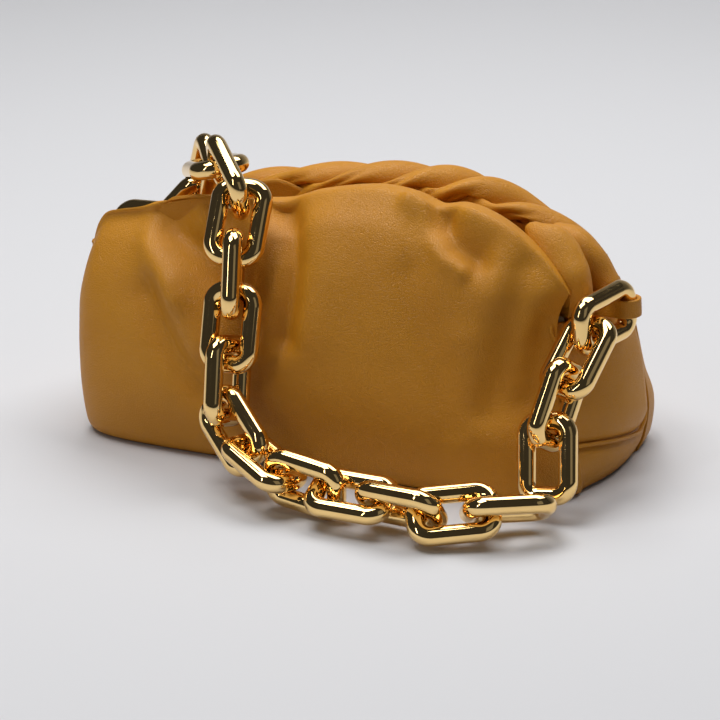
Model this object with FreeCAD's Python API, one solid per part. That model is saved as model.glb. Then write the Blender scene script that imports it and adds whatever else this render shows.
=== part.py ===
import FreeCAD, Part
import math
import os

os.makedirs("parts", exist_ok=True)
V = FreeCAD.Vector

# Frame: origin at the middle of the base on the floor, +X towards the right end, -Y to the front, +Z up.
# Driving dimensions in millimetres, angles in degrees.

# Leather body
HALF_LENGTH = 150.0        # half the width of the bag at its widest
FRONT_DEPTH = 84.0         # how far the front bulges forward of the centre plane
REAR_DEPTH = 72.0          # how far the rear bulges back
CROWN_HEIGHT = 152.0       # top of the front leather
RIM_HEIGHT = 90.0          # level of the mouth frame and of the fold's floor
PANEL = 3.0                # leather with its backing
BASE_THICKNESS = 4.0
LINING = 0.8
BOARD_THICKNESS = 2.5
BOARD_MARGIN = 10.0        # board's edge to the lining
OUTLINE_POINTS = 48
GUSSET_FRONT = -15.0       # seams of the end panels
GUSSET_REAR = 38.0
CROWN_REAR = -36.0         # the crown's leather ends here, open to the fold behind it

# height, left and right length, front and rear as shares of the four sizes above, then the corner
# powers of front left, front right and rear
SECTION_shares = [
    (0.00, 0.940, 0.940, 0.881, 0.861, 7.0, 5.0, 5.0),
    (0.07, 0.973, 0.973, 0.952, 0.917, 6.0, 4.4, 4.5),
    (0.30, 1.000, 1.000, 1.000, 0.986, 5.4, 2.7, 3.6),
    (0.45, 1.000, 0.997, 0.976, 1.000, 5.0, 2.1, 3.2),
    (0.59, 0.995, 0.975, 0.915, 1.000, 4.2, 1.8, 3.0),
    (0.74, 0.950, 0.870, 0.800, 0.850, 2.6, 1.8, 3.0),
    (0.86, 0.795, 0.710, 0.690, 0.700, 2.0, 2.0, 2.5),
    (0.95, 0.480, 0.580, 0.595, 0.560, 2.0, 2.0, 2.0),
    (1.00, 0.230, 0.320, 0.510, 0.420, 2.0, 2.0, 2.0),
]

# Fold between the front crown and the rear half
SHELF_THICKNESS = 3.0
WEB_FRONT = 4.5
WEB_THICKNESS = 2.5

# Rear half, turns about the frame's pins
HINGE_Y = 12.0
COVER_GAP = 3.0            # dome to the inside of the rear panel, at the rim
LEFT_REACH_INSET = 16.0    # bag's end to where the dome's arc would meet the hinge line
RIGHT_REACH_INSET = 10.0
COVER_INSET = 23.0         # bag's end to where the dome is cut off
COVER_END = HALF_LENGTH - COVER_INSET
LEFT_COVER_POWER = 2.0     # the right shoulder of the dome is fuller
RIGHT_COVER_POWER = 2.5
COVER_WALL = 2.5
COVER_FRONT = 8.5
COVER_START = -8.0
COVER_TURN = 104.0
COVER_POINTS = 29
GATHER_RISE = 11.0
GATHER_POINTS = 81
PLEATS = 8
PLEAT_DEPTH = 5.0
GATHER_START = 55.0
GATHER_TURN = 41.0
GATHER_POWER = 4.0
GATHER_END_share = 0.12

# Mouth frame
FRAME_THICKNESS = 4.0
FRAME_BAR = 6.0
LUG_INSET = 25.0
FRAME_LUG_START = HALF_LENGTH - LUG_INSET
LUG_HALF = 5.0
ARCH_DEPTH = 3.5
ARCH_FRONT = 8.7
EYE_GAP = 0.2
EYE_THICKNESS = 3.5
EYE_RADIUS = 4.2
PIN_RADIUS = 2.0
PIN_PLAY = 0.05
PIN_LENGTH = 9.0
PIN_HEAD_RADIUS = 3.4
PIN_HEAD = 2.0
MAGNET_RADIUS = 6.0
MAGNET_THICKNESS = 2.0
MAGNET_PLATE = 9.0
MAGNET_DROP = 18.0         # below the top of the arch

# Chain link: a round bar bent to a rounded rectangle
LINK_LENGTH = 49.4
LINK_WIDTH = 33.4
BAR = 10.2
BEND = 7.4                 # radius of the bar's centre line at the corners
LINK_GAP = 0.6             # play between linked bars

# Chain ends
TAB_PLAY = 0.05
TAB_LEATHER = 2.65
TAB_HEIGHT = 8.0
TONGUE_THICKNESS = 2.6
RIGHT_TONGUE_LENGTH = 31.0
RIGHT_TONGUE_TOP = 4.4
LEFT_TONGUE_LENGTH = 26.0
RIGHT_TAB_OUT = 3.0        # right end bar past the widest place, ahead of the centre plane, over the rim
RIGHT_TAB_FRONT = 14.0
RIGHT_TAB_RISE = 8.0
LEFT_TAB_IN = 2.0          # left end bar inside the widest place, ahead of the centre plane, over the rim
LEFT_TAB_FRONT = 18.0
LEFT_TAB_RISE = 17.0
RIGHT_TAB = V(HALF_LENGTH + RIGHT_TAB_OUT, -RIGHT_TAB_FRONT, RIM_HEIGHT + RIGHT_TAB_RISE)
LEFT_TAB = V(LEFT_TAB_IN - HALF_LENGTH, -LEFT_TAB_FRONT, RIM_HEIGHT + LEFT_TAB_RISE)
RIGHT_AIM_share = V(-0.32, -0.94, -0.08)
RIGHT_BAR_share = V(-0.06, 0.00, 1.00)
LEFT_AIM_share = V(0.99, -0.05, 0.06)
LEFT_BAR_share = V(0.00, 0.65, 0.75)
LEFT_TONGUE_share = V(0.35, 0.66, -0.66)

# Where each following link's far end aims: shares of half length, front depth and crown height,
# and its roll about its own length as a share of a quarter turn, 0 with its face to the viewer
RIGHT_ROUTE_shares = [
    (0.893, -0.857, 0.368, -0.22),
    (0.880, -1.030, 0.204, 0.56),
    (0.927, -1.060, 0.039, -0.06),
    (0.947, -1.250, -0.066, 0.11),
]
LEFT_ROUTE_shares = [
    (-0.660, -0.190, 0.789, -0.49),
    (-0.580, -0.179, 0.967, -0.11),
    (-0.560, -0.369, 1.059, -1.63),
    (-0.420, -0.679, 1.053, 0.92),
    (-0.300, -0.869, 0.967, 0.11),
    (-0.313, -0.976, 0.836, 0.97),
    (-0.267, -1.060, 0.671, -0.44),
    (-0.300, -1.160, 0.553, 0.20),
    (-0.267, -1.210, 0.408, -0.67),
    (-0.240, -1.330, 0.230, 0.40),
    (-0.080, -1.464, 0.132, -0.88),
    (0.053, -1.583, 0.125, 0.01),
    (0.253, -1.595, 0.112, 1.00),
    (0.440, -1.607, 0.118, 0.00),
    (0.627, -1.643, 0.118, 0.78),
    (0.807, -1.452, 0.118, 0.67),
]
FACING_share = V(0.37, -0.87, 0.33)     # the side the links turn their faces to
SKEW = 18.0                # most that a link leans off square to the one before
TIGHT_TURN = 55.0          # at this turn a link sits square
FREE_TURN = 40.0           # beyond this turn a link slides into the corner of the next
EASE = 20.0                # turn over which it slides there
SETTLE_STEPS = 12
ROUTE_STEPS = 24
ROUTE_STRIDE_share = 0.5
FAR = 400.0                # half size of the cutting boxes


def save(shape, name):
    shape.exportStep("parts/%s.step" % name)


def block(low, high):
    size = high - low
    return Part.makeBox(size.x, size.y, size.z, low)


def outline(row, inset):
    height, left, right, front, rear, left_power, right_power, rear_power = row
    points = []
    for k in range(OUTLINE_POINTS):
        turn = 2 * math.pi * k / OUTLINE_POINTS
        c, s = math.cos(turn), math.sin(turn)
        ahead = s < 0
        front_power = left_power if c < 0 else right_power
        power = front_power if ahead else rear_power
        depth = front * FRONT_DEPTH if ahead else rear * REAR_DEPTH
        norm = (abs(c) ** power + abs(s) ** power) ** (1 / power)
        length = left if c < 0 else right
        x = (length * HALF_LENGTH - inset) * c / norm
        y = (depth - inset) * s / norm
        points.append(V(x, y, height * CROWN_HEIGHT))
    curve = Part.BSplineCurve()
    curve.interpolate(Points=points, PeriodicFlag=True)
    return Part.Wire([curve.toShape()])


def pouch(inset):
    return Part.makeLoft([outline(row, inset) for row in SECTION_shares], True, False)


def below(shape, low, high):
    return shape.common(block(V(-FAR, -FAR, low), V(FAR, FAR, high)))


def rear_depth(z):
    """How far back the leather reaches at a height, read from the sections."""
    share = z / CROWN_HEIGHT
    for low, high in zip(SECTION_shares, SECTION_shares[1:]):
        if share <= high[0]:
            between = (share - low[0]) / (high[0] - low[0])
            return REAR_DEPTH * (low[4] + (high[4] - low[4]) * between)
    return REAR_DEPTH * SECTION_shares[-1][4]


COVER_RADIUS = rear_depth(RIM_HEIGHT) - PANEL - COVER_GAP - HINGE_Y


def cover_radius(x):
    inset = LEFT_REACH_INSET if x < 0 else RIGHT_REACH_INSET
    power = LEFT_COVER_POWER if x < 0 else RIGHT_COVER_POWER
    return COVER_RADIUS * (1 - abs(x / (HALF_LENGTH - inset)) ** power) ** (1 / power)


def strip_face(lower, upper, count=COVER_POINTS):
    """Face between two curves over x, drawn upright in the hinge line's plane."""
    def row(height, steps):
        places = [COVER_END * (2 * k / (steps - 1) - 1) for k in range(steps)]
        return [V(x, HINGE_Y, RIM_HEIGHT + height(x)) for x in places]

    tops, bottoms = row(upper, count), row(lower, COVER_POINTS)
    edges = []
    for points in (tops, bottoms):
        curve = Part.BSplineCurve()
        curve.interpolate(points)
        edges.append(curve.toShape())
    for k in (0, -1):
        edges.append(Part.makeLine(tops[k], bottoms[k]))
    return Part.Face(Part.Wire(Part.__sortEdges__(edges)))


def swept(face, start, turn):
    """Solid turned about the hinge line, angles counted up from the rear."""
    axis, base = V(-1, 0, 0), V(0, HINGE_Y, RIM_HEIGHT)
    lying = face.copy()
    lying.rotate(base, axis, 90 - start)
    return lying.revolve(base, -axis, turn)


def link_solid():
    length, width = (LINK_LENGTH - BAR) / 2, (LINK_WIDTH - BAR) / 2
    diagonal = BEND * (1 - math.sqrt(0.5))
    edges = []
    for sx, sy in ((1, 1), (-1, 1), (-1, -1), (1, -1)):
        side = V(sx * length, sy * (width - BEND), 0)
        corner = V(sx * (length - diagonal), sy * (width - diagonal), 0)
        top = V(sx * (length - BEND), sy * width, 0)
        edges.append(Part.Arc(side, corner, top).toShape())
        if sx > 0:
            edges.append(Part.makeLine(top, V(-top.x, top.y, 0)))
        if sy > 0:
            edges.append(Part.makeLine(side, V(side.x, -side.y, 0)))
    path = Part.Wire(Part.__sortEdges__(edges))
    section = Part.Wire([Part.makeCircle(BAR / 2, V(0, width, 0), V(1, 0, 0))])
    pipe = path.makePipeShell([section], True, True)
    return pipe if pipe.Volume > 0 else pipe.reversed()


def unit(v):
    return V(v).normalize()


def square(v, to):
    """The part of v at right angles to a unit vector, as a unit vector."""
    return unit(v - to * v.dot(to))


def turned(v, axis, angle):
    return FreeCAD.Rotation(axis, math.degrees(angle)).multVec(v)


def hook(u, b, pull):
    """Where on the end of a link a pull settles, the bar's outward normal and its direction there."""
    turn = math.atan2(pull.dot(b), pull.dot(u))
    size = min(max(abs(turn) - math.radians(FREE_TURN), 0), math.pi / 2)
    turn = math.copysign(size, turn)
    ease = min(size / math.radians(EASE), 1)
    along = (LINK_LENGTH - BAR) / 2 - BEND + BEND * math.cos(turn)
    across = math.copysign(ease * ((LINK_WIDTH - BAR) / 2 - BEND), turn) + BEND * math.sin(turn)
    normal = u * math.cos(turn) + b * math.sin(turn)
    return u * along + b * across, normal, b * math.cos(turn) - u * math.sin(turn)


def smooth_route(points):
    ends = [points[0] * 2 - points[1]] + points + [points[-1] * 2 - points[-2]]
    route = []
    for k in range(len(points) - 1):
        a, b, c, d = ends[k:k + 4]
        for step in range(ROUTE_STEPS):
            t = step / ROUTE_STEPS
            swing = a * 2 - b * 5 + c * 4 - d
            twist = b * 3 - a - c * 3 + d
            route.append((b * 2 + (c - a) * t + swing * t ** 2 + twist * t ** 3) * 0.5)
    return route + [points[-1]]


def along_route(route, at):
    k = min(int(at), len(route) - 2)
    return route[k] + (route[k + 1] - route[k]) * (at - k)


def reach(route, at, start, distance):
    """First place on the route, from at onwards, that lies a distance from a point."""
    last = len(route) - 1
    while at < last and (along_route(route, at) - start).Length < distance:
        at = at + ROUTE_STRIDE_share
    high, low = min(at, last), max(min(at, last) - ROUTE_STRIDE_share, 0)
    for _ in range(ROUTE_STEPS):
        middle = (low + high) / 2
        if (along_route(route, middle) - start).Length < distance:
            low = middle
        else:
            high = middle
    return high, along_route(route, high)


def lay_chain(tab, aim, bar, shares):
    """Links as (centre, length direction, end bar direction), each hooked in the one before."""
    length = LINK_LENGTH - BAR
    u = unit(aim)
    b = square(bar, u)
    links = [(tab + u * (length / 2), u, b)]
    aims = [V(x * HALF_LENGTH, y * FRONT_DEPTH, z * CROWN_HEIGHT) for x, y, z, _ in shares]
    route = smooth_route([tab + u * length] + aims + [aims[-1] * 2 - aims[-2]])
    facing = unit(FACING_share)
    at = 0
    for k in range(len(shares) - 1):
        c0, u0, b0 = links[-1]
        roll = shares[k][3] * math.pi / 2
        far = c0 + u0 * (length / 2)
        target = aims[0] if k == 0 else reach(route, at, far, length - BAR)[1]
        u = unit(target - far)
        for _ in range(SETTLE_STEPS):
            spot, out, along = hook(u0, b0, u)
            face = square(facing, u)
            b = u.cross(face) * math.cos(roll) + face * math.sin(roll)
            upright = u.cross(square(along, u)).normalize()
            if upright.dot(b) < 0:
                upright = upright * -1
            lean = math.atan2(upright.cross(b).dot(u), upright.dot(b))
            turn = math.degrees(math.acos(max(-1, min(1, u.dot(u0)))))
            most = math.radians(SKEW) * max(0, 1 - turn / TIGHT_TURN)
            b = turned(upright, u, max(-most, min(most, lean)))
            own_spot, own_out, own_along = hook(u * -1, b, out * -1)
            across = along.cross(own_along).normalize()
            if across.dot(out - own_out) < 0:
                across = across * -1
            centre = c0 + spot - across * (BAR + LINK_GAP) - own_spot
            near = centre - u * (length / 2)
            next_at, target = reach(route, at, near, length)
            u = unit(target - near)
        at = next_at
        links.append((centre, u, square(b, u)))
    return links


def placed(shape, link):
    c, u, b = link
    n = u.cross(b)
    copy = shape.copy()
    copy.Placement = FreeCAD.Placement(FreeCAD.Matrix(
        u.x, b.x, n.x, c.x, u.y, b.y, n.y, c.y, u.z, b.z, n.z, c.z, 0, 0, 0, 1))
    return copy


# Leather body: one hollow pouch, cut along its seams
outer = pouch(0)
inner = pouch(PANEL)
inner_lining = pouch(PANEL + LINING)
wall = outer.cut(inner)
front_low = block(V(-FAR, -FAR, BASE_THICKNESS), V(FAR, GUSSET_FRONT, RIM_HEIGHT))
front_high = block(V(-FAR, -FAR, BASE_THICKNESS), V(FAR, CROWN_REAR, FAR))
front_panel = wall.common(front_low.fuse(front_high))
save(front_panel, "front_panel")
save(wall.common(block(V(-FAR, GUSSET_REAR, BASE_THICKNESS), V(FAR, FAR, RIM_HEIGHT))), "rear_panel")
save(wall.common(block(V(0, GUSSET_FRONT, BASE_THICKNESS), V(FAR, GUSSET_REAR, RIM_HEIGHT))), "right_gusset")
save(wall.common(block(V(-FAR, GUSSET_FRONT, BASE_THICKNESS), V(0, GUSSET_REAR, RIM_HEIGHT))), "left_gusset")
save(below(outer, 0, BASE_THICKNESS), "base_panel")
lined = below(inner, BASE_THICKNESS, RIM_HEIGHT)
lining_room = below(inner_lining, BASE_THICKNESS + LINING, RIM_HEIGHT)
save(lined.cut(lining_room), "lining")
board_low = BASE_THICKNESS + LINING
board_room = below(pouch(PANEL + LINING + BOARD_MARGIN), board_low, board_low + BOARD_THICKNESS)
save(board_room, "base_board")

# Fold behind the crown
web_rear = WEB_FRONT + WEB_THICKNESS
shelf_top = RIM_HEIGHT + SHELF_THICKNESS
shelf_room = block(V(-FAR, -FAR, RIM_HEIGHT), V(FAR, web_rear, shelf_top))
save(outer.common(shelf_room).cut(front_panel), "mouth_shelf")
web = strip_face(lambda x: SHELF_THICKNESS, cover_radius)
web.translate(V(0, WEB_FRONT - HINGE_Y, 0))
arch_top = RIM_HEIGHT + COVER_RADIUS - COVER_WALL
magnet_height = arch_top - MAGNET_DROP
web_solid = web.extrude(V(0, WEB_THICKNESS, 0))
front_magnet = Part.makeCylinder(
    MAGNET_RADIUS, MAGNET_THICKNESS, V(0, web_rear, magnet_height), V(0, -1, 0))
save(web_solid.cut(front_magnet), "mouth_web")
save(front_magnet, "front_magnet")

# Rear half: dome and gathered roll
behind = block(V(-FAR, COVER_FRONT, 0), V(FAR, FAR, FAR))
cover_face = strip_face(lambda x: cover_radius(x) - COVER_WALL, cover_radius)
rear_cover = swept(cover_face, COVER_START, COVER_TURN).common(behind)
save(rear_cover, "rear_cover")


def gather_radius(x):
    swell = 1 - (1 - GATHER_END_share) * abs(x / COVER_END) ** GATHER_POWER
    crease = math.cos(math.pi * PLEATS * (x + COVER_END) / (2 * COVER_END)) ** 2
    return cover_radius(x) + (GATHER_RISE - PLEAT_DEPTH * crease) * swell


gather_face = strip_face(cover_radius, gather_radius, GATHER_POINTS)
save(swept(gather_face, GATHER_START, GATHER_TURN).common(behind), "rear_gather")

# Mouth frame, its pins and magnets
lug_end = FRAME_LUG_START + FRAME_THICKNESS
hinge = V(0, HINGE_Y, RIM_HEIGHT)
front_frame = block(V(-lug_end, WEB_FRONT, RIM_HEIGHT - FRAME_BAR), V(lug_end, COVER_FRONT, RIM_HEIGHT))
eye_start = lug_end + EYE_GAP
eye_end = eye_start + EYE_THICKNESS
arch = strip_face(lambda x: cover_radius(x) - COVER_WALL - ARCH_DEPTH, lambda x: cover_radius(x) - COVER_WALL)
arch.translate(V(0, ARCH_FRONT - HINGE_Y, 0))
rear_frame = arch.extrude(V(0, FRAME_THICKNESS, 0))
plate = block(V(-MAGNET_PLATE, ARCH_FRONT, magnet_height - MAGNET_PLATE),
              V(MAGNET_PLATE, ARCH_FRONT + FRAME_THICKNESS, arch_top - ARCH_DEPTH / 2))
rear_frame = rear_frame.fuse(plate)
for side in (-1, 1):
    arm_top = RIM_HEIGHT + cover_radius(side * COVER_END) - COVER_WALL
    pin_start = side * FRAME_LUG_START
    axis = V(side, 0, 0)
    lug = Part.makeCylinder(LUG_HALF, FRAME_THICKNESS, hinge + V(pin_start, 0, 0), axis)
    lug = lug.fuse(block(V(min(pin_start, side * lug_end), WEB_FRONT, RIM_HEIGHT - FRAME_BAR),
                         V(max(pin_start, side * lug_end), HINGE_Y, RIM_HEIGHT)))
    lug = lug.cut(block(V(-FAR, -FAR, RIM_HEIGHT), V(FAR, web_rear, FAR)))
    front_frame = front_frame.fuse(lug)
    eye = Part.makeCylinder(EYE_RADIUS, EYE_THICKNESS, hinge + V(side * eye_start, 0, 0), axis)
    low_x, high_x = sorted((side * eye_start, side * eye_end))
    stem = block(V(low_x, ARCH_FRONT, RIM_HEIGHT), V(high_x, ARCH_FRONT + FRAME_THICKNESS, arm_top))
    low_x, high_x = sorted((side * (COVER_END - ARCH_DEPTH / 2), side * eye_end))
    arm = block(V(low_x, ARCH_FRONT, arm_top - ARCH_DEPTH),
                V(high_x, ARCH_FRONT + FRAME_THICKNESS, arm_top))
    rear_frame = rear_frame.fuse([eye, stem, arm])
for side, name in ((-1, "left_pin"), (1, "right_pin")):
    axis = V(side, 0, 0)
    start = hinge + V(side * FRAME_LUG_START, 0, 0)
    shaft = Part.makeCylinder(PIN_RADIUS, PIN_LENGTH, start, axis)
    head = Part.makeCylinder(PIN_HEAD_RADIUS, PIN_HEAD, start + axis * PIN_LENGTH, axis)
    save(shaft.fuse(head).removeSplitter(), name)
    front_frame = front_frame.cut(shaft)
    rear_frame = rear_frame.cut(Part.makeCylinder(PIN_RADIUS + PIN_PLAY, PIN_LENGTH, start, axis))
rear_magnet = Part.makeCylinder(
    MAGNET_RADIUS, MAGNET_THICKNESS, V(0, ARCH_FRONT, magnet_height), V(0, 1, 0))
save(front_frame.removeSplitter(), "front_frame")
save(rear_frame.cut(rear_magnet).cut(rear_cover).removeSplitter(), "rear_frame")
save(rear_magnet, "rear_magnet")

# Chain, as two runs from the two tabs
link = link_solid()
right_run = lay_chain(RIGHT_TAB, RIGHT_AIM_share, RIGHT_BAR_share, RIGHT_ROUTE_shares)
left_run = lay_chain(LEFT_TAB, LEFT_AIM_share, LEFT_BAR_share, LEFT_ROUTE_shares)
for k, row in enumerate(right_run):
    save(placed(link, row), "right_link_%d" % k if k else "right_end_link")
for k, row in enumerate(left_run):
    save(placed(link, row), "chain_link_%02d" % k if k else "left_end_link")

# Strap loops that hold the end links
tab_inside = BAR / 2 + TAB_PLAY
tab_outside = tab_inside + TAB_LEATHER


def strap(tab, link_row, tongue):
    bar = link_row[2]
    loop = Part.makeCylinder(tab_outside, TAB_HEIGHT, tab - bar * (TAB_HEIGHT / 2), bar)
    bore = Part.makeCylinder(tab_inside, 2 * LINK_WIDTH, tab - bar * LINK_WIDTH, bar)
    shape = loop.fuse(tongue).cut(bore)
    return shape.cut(block(V(-FAR, -FAR, -FAR), V(FAR, FAR, shelf_top))).removeSplitter()


right_tongue = block(V(RIGHT_TAB.x - RIGHT_TONGUE_LENGTH, RIGHT_TAB.y - TONGUE_THICKNESS / 2, shelf_top),
                     V(RIGHT_TAB.x, RIGHT_TAB.y + TONGUE_THICKNESS / 2, RIGHT_TAB.z + RIGHT_TONGUE_TOP))
save(strap(RIGHT_TAB, right_run[0], right_tongue), "right_tab")
left_bar = left_run[0][2]
down = square(LEFT_TONGUE_share, left_bar)
left_tongue = Part.makeBox(
    LEFT_TONGUE_LENGTH, TAB_HEIGHT, TONGUE_THICKNESS, V(0, -TAB_HEIGHT / 2, -TONGUE_THICKNESS / 2))
save(strap(LEFT_TAB, left_run[0], placed(left_tongue, (LEFT_TAB, down, left_bar))), "left_tab")
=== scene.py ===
"""Looks of a gathered leather bag with a chain strap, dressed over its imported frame. Lengths in metres."""

import math

import bmesh
import bpy
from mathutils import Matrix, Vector, noise


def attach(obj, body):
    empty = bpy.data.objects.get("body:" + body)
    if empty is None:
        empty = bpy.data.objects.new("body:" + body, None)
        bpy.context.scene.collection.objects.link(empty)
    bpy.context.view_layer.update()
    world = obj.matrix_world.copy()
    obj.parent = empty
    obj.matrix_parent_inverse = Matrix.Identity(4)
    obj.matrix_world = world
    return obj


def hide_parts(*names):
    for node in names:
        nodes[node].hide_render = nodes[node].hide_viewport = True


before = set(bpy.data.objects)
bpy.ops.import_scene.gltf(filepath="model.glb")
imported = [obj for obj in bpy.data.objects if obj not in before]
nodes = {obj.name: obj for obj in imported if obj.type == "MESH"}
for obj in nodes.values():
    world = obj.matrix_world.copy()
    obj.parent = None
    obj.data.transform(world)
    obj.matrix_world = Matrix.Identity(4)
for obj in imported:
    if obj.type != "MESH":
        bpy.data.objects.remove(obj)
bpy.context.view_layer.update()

# Bag, as in the frame: +X to the right end, -Y to the front, +Z up
HALF_LENGTH = 0.150
FRONT_DEPTH = 0.084
RIM_HEIGHT = 0.090
CROWN_REAR = -0.036         # the crown stands ahead of this, clear of the chain's first links
LEATHER = 0.0018
HINGE_Y = 0.012
BAG_MIDDLE = Vector((0, 0, RIM_HEIGHT / 2))
FRONT_MIDDLE = Vector((0, -0.02, RIM_HEIGHT / 2))
HINGE_MIDDLE = Vector((0, HINGE_Y, RIM_HEIGHT))
BELOW_HINGE = Vector((0, HINGE_Y, 0))
MERGE = 1e-5                # points closer than this are one

# Front leather: how the profile climbs from the base over the crown into the mouth.
# place up the profile, depth and height as shares of front depth and crown, left and right length
# as shares of half length, then how square the left and right corners are
FRONT_PROFILE_shares = [
    (0.00, 0.850, 0.000, 0.985, 0.945, 8.0, 5.0),
    (0.04, 0.905, 0.020, 1.000, 0.962, 8.0, 4.6),
    (0.10, 0.956, 0.080, 1.012, 0.982, 7.5, 4.0),
    (0.25, 1.000, 0.260, 1.025, 1.002, 7.0, 2.9),
    (0.40, 0.980, 0.440, 1.030, 0.988, 7.0, 2.3),
    (0.52, 0.925, 0.600, 1.032, 0.965, 6.5, 2.1),
    (0.63, 0.830, 0.755, 1.035, 0.942, 6.0, 2.1),
    (0.72, 0.700, 0.885, 1.033, 0.922, 5.0, 2.2),
    (0.79, 0.560, 0.965, 1.022, 0.910, 4.4, 2.2),
]
FRONT_GRID = (240, 130)
LEFT_TURN, RIGHT_TURN = 80.0, 58.0      # degrees from the middle of the front to the end panels
CROWN_TURN = 12.0                       # further round at the right end of the crown
CROWN_TURN_shares = (0.45, 0.66)        # up the profile, where that turn sets in
CROWN_LEAN_shares = (0.32, 0.72)        # up the profile, where the ends draw ahead to CROWN_REAR
CROWN_START_share = 0.79                # from here the leather rolls over into the mouth
CROWN_EDGE_share = 0.965                # of the crown's height, where the roll starts
CROWN_EASE_share = 0.2                  # of the roll, over which it reaches the full height
CROWN_FOOT = 0.094                      # where the roll comes down behind
# place along the roll, how far back it has gone as a share of its reach, how far down
CROWN_ROLL_shares = [
    (0.0, 0.0, 0.0), (0.20, 0.20, 0.0), (0.40, 0.50, 0.03),
    (0.60, 0.80, 0.18), (0.80, 0.96, 0.55), (1.0, 1.0, 1.0),
]
# along the bag: how far back the roll reaches, as a share of front depth
CROWN_REACH_shares = [
    (-1.0, 0.04), (-0.55, 0.06), (-0.38, 0.28), (-0.22, 0.48), (0.55, 0.48), (0.80, 0.28), (1.0, 0.03),
]
# along the bag: height of the crown
CROWN = [
    (-0.156, 0.096), (-0.152, 0.106), (-0.148, 0.1155), (-0.142, 0.1230), (-0.132, 0.1265), (-0.115, 0.1305),
    (-0.097, 0.137), (-0.070, 0.142), (-0.050, 0.141), (-0.034, 0.142), (-0.015, 0.149), (0.018, 0.155),
    (0.038, 0.1535), (0.053, 0.1485), (0.067, 0.1505), (0.081, 0.147), (0.098, 0.139), (0.112, 0.129),
    (0.122, 0.119), (0.131, 0.108), (0.139, 0.097), (0.150, 0.090),
]

# Folds of the front and the rear leather: route over x and z, half width, rise out of the surface
FRONT_FOLDS = [
    ([(0.040, 0.152), (0.049, 0.147), (0.057, 0.137), (0.067, 0.128), (0.077, 0.123)], 0.0055, 0.0048),
    ([(0.061, 0.143), (0.071, 0.136), (0.083, 0.130)], 0.0090, -0.0090),
    ([(0.076, 0.147), (0.090, 0.140), (0.099, 0.127), (0.097, 0.112)], 0.0100, 0.0045),
    ([(-0.034, 0.141), (-0.024, 0.132), (-0.018, 0.116), (-0.017, 0.098), (-0.018, 0.078)], 0.0075, -0.0078),
    ([(-0.003, 0.135), (0.000, 0.112), (-0.002, 0.085)], 0.0150, 0.0028),
    ([(-0.100, 0.125), (-0.091, 0.123), (-0.081, 0.118), (-0.071, 0.112), (-0.062, 0.106)], 0.0095, -0.0105),
    ([(-0.106, 0.131), (-0.105, 0.115), (-0.100, 0.107), (-0.090, 0.099), (-0.083, 0.090)], 0.0085, 0.0048),
    ([(-0.083, 0.096), (-0.076, 0.083), (-0.068, 0.070)], 0.0140, 0.0060),
    ([(-0.102, 0.090), (-0.094, 0.077), (-0.086, 0.065), (-0.077, 0.053), (-0.066, 0.042)], 0.0090, -0.0056),
    ([(-0.062, 0.142), (-0.055, 0.120), (-0.048, 0.090)], 0.0160, -0.0040),
    ([(0.050, 0.118), (0.058, 0.098), (0.069, 0.072), (0.079, 0.041)], 0.0090, -0.0026),
    ([(0.104, 0.122), (0.105, 0.102), (0.101, 0.071), (0.096, 0.050)], 0.0100, -0.0045),
    ([(0.083, 0.085), (0.089, 0.045)], 0.0130, 0.0026),
    ([(0.124, 0.098), (0.121, 0.080), (0.116, 0.055)], 0.0100, -0.0050),
]
REAR_FOLDS = [
    ([(-0.066, 0.074), (-0.060, 0.056), (-0.050, 0.036)], 0.0110, -0.0045),
    ([(0.025, 0.074), (0.026, 0.062), (0.020, 0.040)], 0.0090, -0.0035),
    ([(0.080, 0.072), (0.072, 0.048)], 0.0110, -0.0040),
    ([(-0.020, 0.094), (-0.016, 0.070)], 0.0120, 0.0025),
]
FOLD_FACING = (-0.15, 0.5)  # how far a place must face forward or back for none and for all of a fold
FOLD_FOOT = 0.03            # below this height the folds fade to the base
UNDULATION = 0.0006
UNDULATION_SCALE = 22.0
# Where a link of the right run presses into the leather: place, half width, depth
LINK_DENT = (Vector((0.131, -0.041, 0.086)), 0.018, 0.0085)
DENT_FACING = (-0.1, 0.5)   # how far a place must face outwards for none and for all of the dent

# Walls of the end panels and the rear leather: height, left and right length, rear depth, rear corner power
WALLS = [
    (0.000, 0.1480, 0.1490, 0.0640, 6.5),
    (0.008, 0.1515, 0.1525, 0.0680, 6.2),
    (0.026, 0.1540, 0.1545, 0.0715, 5.2),
    (0.045, 0.1540, 0.1520, 0.0725, 3.7),
    (0.068, 0.1535, 0.1490, 0.0720, 3.0),
    (0.090, 0.1510, 0.1460, 0.0710, 2.6),
    (0.100, 0.1480, 0.1425, 0.0690, 2.6),
]
REAR_GRID = (240, 90)
REAR_TURN = 69.0            # degrees from the middle of the rear to the seams
REAR_RIM_share = 0.72       # up the rear leather, where it turns in over the rear half
# place along the turned rim, how far in it has gone, how high it stands
REAR_RIM_shares = [
    (0.0, 0.0, 0.0), (0.30, 0.12, 0.60), (0.55, 0.42, 1.0), (0.80, 0.82, 0.75), (1.0, 1.0, 0.2),
]
RIM_RISE = 0.005
RIM_GAP = 0.0060            # between the turned rim and the rear half
PIN_ROOM = 0.006
GATHER_SPACING = 0.034
GATHER_DEPTH = 0.0050
GATHER_POWER = 0.7          # of the lumps between the gathers, lower is fuller
GATHER_LEVEL_share = 0.4    # of a lump, sunk below the leather
GATHER_STRENGTH = 0.7
GATHER_START_share = 0.26   # up the rear leather, where the gathers set in
GATHER_END_shares = (0.86, 1.0)         # where they fade again
GATHER_SIDE_POWER = 6       # how late they fade towards the seams
# Unevenness along the bag: size, scale along x, place in the noise, scale up the sheet
RIM_WAVE = (0.003, 24.0, 1.7, 0.0)
GATHER_DRIFT = (0.8, 13.0, 5.3, 0.8)
GATHER_VARIETY = (0.6, 17.0, 2.2, 0.0)

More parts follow.
